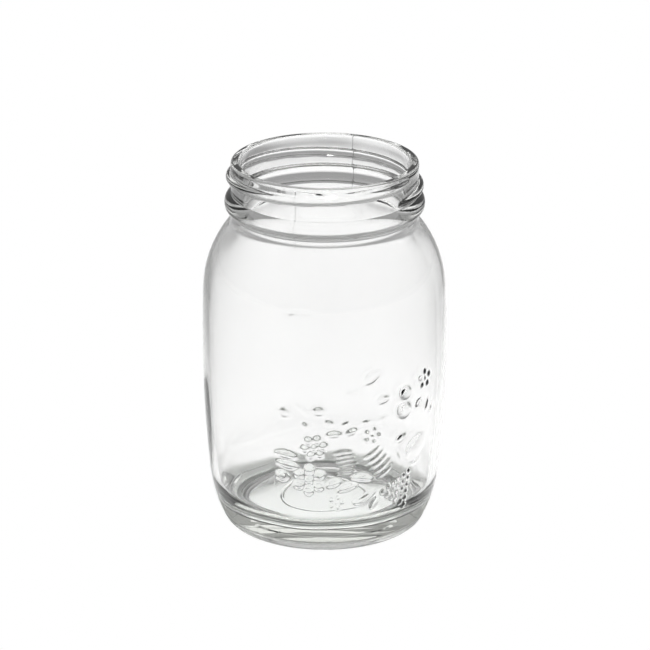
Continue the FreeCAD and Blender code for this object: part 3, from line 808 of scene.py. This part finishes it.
@dataclass
class JarGlass:
    """The moulding as one closed skin of glass."""

    outline: Outline
    thread: Thread
    spray: Spray
    finish: ClearGlass
    body_seam: float = -24.0
    neck_seam: float = -18.0
    seam_width: float = 0.3
    body_seam_proud: float = 0.03 * MM
    neck_seam_proud: float = 0.22 * MM
    fine_sector: tuple[float, float] = (-25.0, 66.0)
    fine_turn: float = 0.6
    coarse_turn: float = 3.1
    inside_wave: float = 1.1 * MM
    inside_wave_scale: float = 26.0
    outside_wave: float = 0.05 * MM
    outside_wave_scale: float = 30.0
    roundness: float = 0.8
    boldness: float = 1.7
    steepness: float = 0.5
    vein_from: float = 2.2
    vein_width: float = 0.22
    vein_depth: float = 0.45
    softening: int = 1
    lengths: tuple[str, ...] = ("across", "up", "length", "width", "bow")
    stamp_points: tuple[int, int] = (25, 13)
    wave_stretch: Place = (1.0, 1.0, 0.3)
    weld: float = 0.002 * MM
    ceiling: float = 5 * MM

    def columns(self) -> list[float]:
        """Azimuths of the columns in degrees, close together at the spray and the mould seams."""
        azimuths = []
        azimuth = -180.0
        while azimuth < 180.0:
            azimuths.append(azimuth)
            low, high = self.fine_sector
            azimuth += self.fine_turn if low <= azimuth < high else self.coarse_turn
        for seam in (self.body_seam, self.neck_seam, self.body_seam + 180.0, self.neck_seam + 180.0):
            azimuths = [value for value in azimuths if abs(value - seam) > 2.5 * self.seam_width]
            azimuths += [seam + self.seam_width * step for step in (-2, -1, -0.4, 0.4, 1, 2)]
        return sorted(azimuths) + [180.0]

    def helpers(self) -> dict[str, bpy.types.Object]:
        """Makes the helper points that the tree reads: rows, columns and marks."""
        rows = self.outline.build()
        columns = self.columns()
        marks = self.spray.marks()
        return {
            "Rows": point_mesh(
                "outline_rows",
                [Vector((row.radius, 0.0, row.height)) for row in rows],
                {zone.value: [float(row.zone is zone) for row in rows] for zone in Zone},
            ),
            "Columns": point_mesh("columns", [Vector((value, 0.0, 0.0)) for value in columns], {}),
            "Marks": point_mesh(
                "marks",
                [Vector((mark.across, mark.up, 0.0)) * MM for mark in marks],
                {
                    **{name: [getattr(mark, name) * MM for mark in marks] for name in self.lengths},
                    "turn": [math.radians(mark.turn) for mark in marks],
                    "rise": [self.rise(mark) * MM for mark in marks],
                    "taper": [mark.taper for mark in marks],
                    "vein": [float(mark.taper == 1.0 and mark.width >= self.vein_from) for mark in marks],
                },
            ),
        }

    def rise(self, mark: Mark) -> float:
        """How high a mark's dome stands, in millimetres; a narrow mark isn't steeper than a wide one."""
        return min(mark.rise * self.boldness, mark.width * self.steepness)

    def stamps(self, graph: Graph, marks: Socket) -> Socket:
        """Adds the nodes that lay a domed stamp on the flat drawing for each mark.

        Args:
            graph: Tree to add to.
            marks: Geometry of the marks' points.

        Returns:
            Geometry of the stamps.
        """
        columns, rows = self.stamp_points
        sheet = graph.add("GeometryNodeMeshGrid", {
            "Size X": 2.0, "Size Y": 2.0, "Vertices X": columns, "Vertices Y": rows,
        })
        place = graph.split(graph.position())
        stamp = graph.store(sheet.outputs["Mesh"], "u", place[0])
        stamp = graph.store(stamp, "v", place[1])
        copies = graph.add("GeometryNodeInstanceOnPoints", {"Points": marks, "Instance": stamp})
        copied = {"Geometry": copies.outputs["Instances"]}
        real = graph.add("GeometryNodeRealizeInstances", copied)
        u, v = graph.named("u"), graph.named("v")
        end, edge = graph.hump(u), graph.hump(v)
        along = graph.times(u, graph.times(graph.named("length"), 0.5))
        aside = graph.times(v, graph.times(graph.named("width"), 0.5))
        aside = graph.plus(aside, graph.named("bow"))
        aside = graph.times(aside, graph.math("POWER", end, graph.named("taper")))
        cosine = graph.math("COSINE", graph.named("turn"))
        sine = graph.math("SINE", graph.named("turn"))
        x = graph.minus(graph.times(along, cosine), graph.times(aside, sine))
        y = graph.plus(graph.times(along, sine), graph.times(aside, cosine))
        dome = graph.math("POWER", graph.times(end, edge), self.roundness)
        beside = graph.math("DIVIDE", v, self.vein_width)
        groove = graph.times(graph.bell(beside), graph.times(graph.named("vein"), self.vein_depth))
        dome = graph.times(dome, graph.minus(1.0, groove))
        spot = graph.vector(
            graph.plus(graph.named("across"), x),
            graph.plus(graph.named("up"), y),
            graph.times(dome, graph.named("rise")),
        )
        return graph.moved(real.outputs["Geometry"], position=spot)

    def pressed(self, graph: Graph, stamps: Socket) -> Socket:
        """Adds the nodes that read the stamps' height over each point of the wall."""
        low, high = self.outline.panel()
        scale = (high - low) / (self.spray.panel * MM)
        across = graph.times(graph.named("azimuth"), math.radians(self.outline.body_radius / scale))
        height = graph.split(graph.position())[2]
        up = graph.math("DIVIDE", graph.minus(height, low), scale)
        ray = graph.add("GeometryNodeRaycast", {
            "Target Geometry": stamps,
            "Source Position": graph.vector(across, up, self.ceiling),
            "Ray Direction": (0.0, 0.0, -1.0),
            "Ray Length": 2 * self.ceiling,
        })
        found = graph.minus(self.ceiling, ray.outputs["Hit Distance"])
        found = graph.times(found, ray.outputs["Is Hit"])
        found = graph.times(graph.math("MAXIMUM", found, 0.0), graph.named(Zone.SIDE.value))
        draft = graph.math("COSINE", graph.math("RADIANS", graph.named("azimuth")))
        found = graph.times(found, graph.math("MAXIMUM", draft, 0.0))
        blurred = {"Value": found, "Iterations": self.softening}
        return graph.add("GeometryNodeBlurAttribute", blurred, data_type="FLOAT").outputs["Value"]

    def waves(self, graph: Graph) -> Socket:
        """Adds the nodes for the glass's own unevenness: inward on the outside, both ways inside."""
        place = graph.paired("MULTIPLY", graph.position(), self.wave_stretch)
        swings = []
        for zone, size, scale, middle in (
            (Zone.INSIDE, self.inside_wave, self.inside_wave_scale, 0.5),
            (Zone.SIDE, self.outside_wave, self.outside_wave_scale, 1.0),
        ):
            swing = graph.minus(graph.noise(place, scale), middle)
            swings.append(graph.times(swing, 2 * size, graph.named(zone.value)))
        return graph.total(swings)

    def seams(self, graph: Graph) -> Socket:
        """Adds the nodes for the fine ridges where the mould halves met, on the body and on the neck."""
        ridges = []
        for zone, azimuth, proud in (
            (Zone.SIDE, self.body_seam, self.body_seam_proud),
            (Zone.NECK, self.neck_seam, self.neck_seam_proud),
        ):
            turn = graph.math("ABSOLUTE", graph.minus(graph.named("azimuth"), azimuth))
            away = graph.math("DIVIDE", graph.math("PINGPONG", turn, 90.0), self.seam_width)
            ridges.append(graph.times(graph.bell(away), graph.named(zone.value), proud))
        return graph.total(ridges)

    def tree(self, material: bpy.types.Material) -> bpy.types.NodeTree:
        """Makes the node tree that turns and presses the glass.

        Args:
            material: What the glass is dressed in.

        Returns:
            The tree, with the helpers and the counts as inputs.
        """
        tree = bpy.data.node_groups.new("turned_glass", "GeometryNodeTree")
        for kind, names in (
            ("Geometry", ("Geometry",)), ("Object", ("Rows", "Columns", "Marks")),
            ("Int", ("Row count", "Column count")),
        ):
            for name in names:
                tree.interface.new_socket(name, in_out="INPUT", socket_type=f"NodeSocket{kind}")
        tree.interface.new_socket("Geometry", in_out="OUTPUT", socket_type="NodeSocketGeometry")
        graph = Graph(tree)
        given = graph.add("NodeGroupInput").outputs
        sheet = graph.add("GeometryNodeMeshGrid", {
            "Vertices X": given["Column count"], "Vertices Y": given["Row count"],
        })
        index = graph.add("GeometryNodeInputIndex").outputs[0]
        column = graph.math("FLOOR", graph.math("DIVIDE", graph.plus(index, 0.5), given["Row count"]))
        row = graph.minus(index, graph.times(column, given["Row count"]))
        geometry = sheet.outputs["Mesh"]
        place = graph.position()
        turned_from = graph.split(self.sampled(graph, given["Rows"], place, row, "FLOAT_VECTOR"))
        azimuth = graph.split(self.sampled(graph, given["Columns"], place, column, "FLOAT_VECTOR"))[0]
        for zone in Zone:
            value = self.sampled(graph, given["Rows"], graph.named(zone.value), row, "FLOAT")
            geometry = graph.store(geometry, zone.value, value)
        geometry = graph.store(geometry, "azimuth", azimuth)
        geometry = graph.store(geometry, "radius", turned_from[0])
        geometry = graph.store(geometry, "height", turned_from[2])
        geometry = graph.moved(geometry, position=self.turned(graph))
        merge = graph.add("GeometryNodeMergeByDistance", {"Geometry": geometry, "Distance": self.weld})
        across, along, _ = graph.split(place)
        azimuth = graph.math("DEGREES", graph.math("ARCTAN2", across, graph.times(along, -1.0)))
        geometry = graph.store(merge.outputs["Geometry"], "azimuth", azimuth)
        stamps = self.stamps(graph, self.object_geometry(graph, given["Marks"]))
        height = graph.total((self.pressed(graph, stamps), self.waves(graph), self.seams(graph)))
        normal = graph.add("GeometryNodeInputNormal").outputs["Normal"]
        geometry = graph.moved(geometry, offset=graph.scaled(normal, height))
        geometry = graph.moved(geometry, position=self.kept_within(graph, place))
        real = graph.add("GeometryNodeRealizeInstances", {"Geometry": geometry})
        dress = graph.add("GeometryNodeSetMaterial", {
            "Geometry": real.outputs["Geometry"], "Material": material,
        })
        graph.put(graph.add("NodeGroupOutput").inputs[0], dress.outputs["Geometry"])
        return tree

    def kept_within(self, graph: Graph, place: Socket) -> Socket:
        """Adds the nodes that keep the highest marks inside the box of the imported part."""
        low, high = CAD_BOUNDS
        return graph.paired("MINIMUM", graph.paired("MAXIMUM", place, low), high)

    def object_geometry(self, graph: Graph, source: Socket) -> Socket:
        """Reads a helper object's geometry."""
        return graph.add("GeometryNodeObjectInfo", {"Object": source}).outputs["Geometry"]

    def sampled(self, graph: Graph, source: Socket, value: Socket, index: Socket, kind: str) -> Socket:
        """Reads a value from one point of a helper.

        Args:
            graph: Tree to add to.
            source: The helper object.
            value: What to read there.
            index: Which point.
            kind: The value's data type.

        Returns:
            The value's socket.
        """
        inputs = {"Geometry": self.object_geometry(graph, source), "Value": value, "Index": index}
        sample = graph.add("GeometryNodeSampleIndex", inputs, data_type=kind, domain="POINT")
        return sample.outputs["Value"]

    def turned(self, graph: Graph) -> Socket:
        """Adds the nodes that give each point its place on the turned wall, thread included."""
        azimuth, height = graph.named("azimuth"), graph.named("height")
        on_neck = graph.named(Zone.NECK.value)
        ridge = graph.times(self.thread.rise(graph, azimuth, height), on_neck)
        ridged = graph.plus(graph.times(on_neck, self.thread.neck), ridge)
        radius = graph.math("MAXIMUM", graph.named("radius"), ridged)
        angle = graph.math("RADIANS", azimuth)
        return graph.vector(
            graph.times(graph.math("SINE", angle), radius),
            graph.times(graph.math("COSINE", angle), graph.times(radius, -1.0)),
            height,
        )

    def build(self) -> bpy.types.Object:
        """Makes the glass as a plain closed mesh.

        Returns:
            The finished piece, which stands for every node of the frame.
        """
        helpers = self.helpers()
        counts = {f"{name} count": len(helpers[f"{name}s"].data.vertices) for name in ("Row", "Column")}
        material = self.finish.build()
        tree = self.tree(material)
        blank = point_mesh("glass_blank", [], {})
        modifier = blank.modifiers.new("turned_glass", "NODES")
        modifier.node_group = tree
        given = {**helpers, **counts}
        for item in tree.interface.items_tree:
            if item.in_out == "INPUT" and item.name in given:
                modifier[item.identifier] = given[item.name]
        graph = bpy.context.evaluated_depsgraph_get()
        mesh = bpy.data.meshes.new_from_object(blank.evaluated_get(graph))
        blank.modifiers.clear()
        for helper in (blank, *helpers.values()):
            bpy.data.objects.remove(helper)
        mesh.polygons.foreach_set("material_index", [0] * len(mesh.polygons))
        mesh.materials.clear()
        mesh.materials.append(material)
        mesh.name = "jar_glass"
        jar = linked("jar_glass", mesh)
        close_skin(jar)
        return jar


def close_skin(piece: bpy.types.Object) -> None:
    """Turns the faces of a closed skin outwards, smooths it and reports anything left open."""
    skin = bmesh.new()
    skin.from_mesh(piece.data)
    bmesh.ops.remove_doubles(skin, verts=skin.verts, dist=0.001 * MM)
    bmesh.ops.recalc_face_normals(skin, faces=skin.faces)
    open_edges = sum(1 for edge in skin.edges if not edge.is_manifold)
    volume = skin.calc_volume(signed=True)
    if volume < 0:
        bmesh.ops.reverse_faces(skin, faces=skin.faces)
    for face in skin.faces:
        face.smooth = True
    skin.to_mesh(piece.data)
    skin.free()
    triangles = sum(len(face.vertices) - 2 for face in piece.data.polygons)
    glass = abs(volume) * 1e6
    LOG.info("%s: %d triangles, %d open edges, %.1f ml", piece.name, triangles, open_edges, glass)


@dataclass(frozen=True)
class Softbox:
    """A gridded overhead softbox that faces straight down."""

    name: str
    place: Place
    size: tuple[float, float]
    spread: float
    power: float

    def build(self) -> None:
        """Makes the light."""
        data = bpy.data.lights.new(self.name, "AREA")
        data.shape = "RECTANGLE"
        data.size, data.size_y = self.size
        data.spread = self.spread
        data.energy = self.power
        linked(self.name, data).location = self.place


@dataclass
class Studio:
    """Pale floor, soft light and the camera."""

    target: Place = (0.0, 0.0, 66 * MM)
    aim: Place = (0.2 * MM, 0.0, 72.8 * MM)
    distance: float = 1.12
    elevation: float = math.radians(21.4)
    lens: float = 172.1
    sensor: float = 36.0
    near: float = 0.05
    roll: float = math.radians(0.15)
    floor_radius: float = 3.0
    floor_sides: int = 96
    floor_white: float = 0.9
    floor_roughness: float = 0.9
    sky_front: float = 0.02
    sky_back: float = 0.36
    sky_top: float = 0.3
    softboxes: tuple[Softbox, ...] = (
        Softbox("overhead_softbox", (0.02, 0.17, 2.0), (0.28, 0.53), math.radians(6), 0.38),
    )

    def camera(self) -> None:
        """Makes the scene's camera, in front of the jar and above it."""
        data = bpy.data.cameras.new("camera")
        data.lens = self.lens
        data.sensor_width = self.sensor
        data.clip_start = self.near
        camera = linked("camera", data)
        back = Vector((0.0, -math.cos(self.elevation), math.sin(self.elevation)))
        camera.location = Vector(self.target) + back * self.distance
        look = (Vector(self.aim) - camera.location).to_track_quat("-Z", "Y")
        camera.rotation_euler = look.to_euler()
        camera.rotation_euler.rotate_axis("Z", self.roll)
        bpy.context.scene.camera = camera

    def floor(self) -> None:
        """Makes the plain pale floor."""
        mesh = bpy.data.meshes.new("floor")
        disc = bmesh.new()
        bmesh.ops.create_circle(disc, cap_ends=True, segments=self.floor_sides, radius=self.floor_radius)
        disc.to_mesh(mesh)
        disc.free()
        floor = linked("floor", mesh)
        material = bpy.data.materials.new("pale_floor")
        material.use_nodes = True
        graph = Graph(material.node_tree)
        shader = material.node_tree.nodes["Principled BSDF"]
        grey = (self.floor_white, self.floor_white, self.floor_white, 1.0)
        graph.fill(shader, {"Base Color": grey, "Roughness": self.floor_roughness})
        paper = graph.add("ShaderNodeEmission").outputs["Emission"]
        shown = graph.mixed(graph.ray("Camera"), shader.outputs["BSDF"], paper)
        graph.fill(material.node_tree.nodes["Material Output"], {"Surface": shown})
        floor.data.materials.append(material)

    def world(self) -> None:
        """Makes the surroundings: bright above, paler behind the jar than in front of it."""
        world = bpy.data.worlds.new("studio")
        world.use_nodes = True
        graph = Graph(world.node_tree)
        toward = graph.split(graph.add("ShaderNodeTexCoord").outputs["Generated"])
        swing = (self.sky_back - self.sky_front) / 2
        back = graph.math("MULTIPLY_ADD", toward[1], swing, self.sky_front + swing)
        up = graph.math("MAXIMUM", toward[2], 0.0)
        strength = graph.plus(back, graph.times(up, self.sky_top))
        strength = graph.math("MAXIMUM", strength, graph.ray("Camera"))
        white = (1.0, 1.0, 1.0, 1.0)
        graph.fill(world.node_tree.nodes["Background"], {"Color": white, "Strength": strength})
        bpy.context.scene.world = world

    def build(self) -> None:
        """Makes the whole studio."""
        self.camera()
        self.floor()
        self.world()
        for softbox in self.softboxes:
            softbox.build()
        bpy.context.scene.view_settings.view_transform = "Standard"


def main() -> None:
    """Builds the jar and its studio, in order."""
    logging.basicConfig(level=logging.INFO, format="%(name)s: %(message)s")
    outline = Outline.from_frame()
    jar = JarGlass(outline, Thread.from_frame(outline), Spray(), ClearGlass()).build()
    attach(jar, "root")
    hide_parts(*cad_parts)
    Studio().build()


if __name__ == "__main__":
    main()
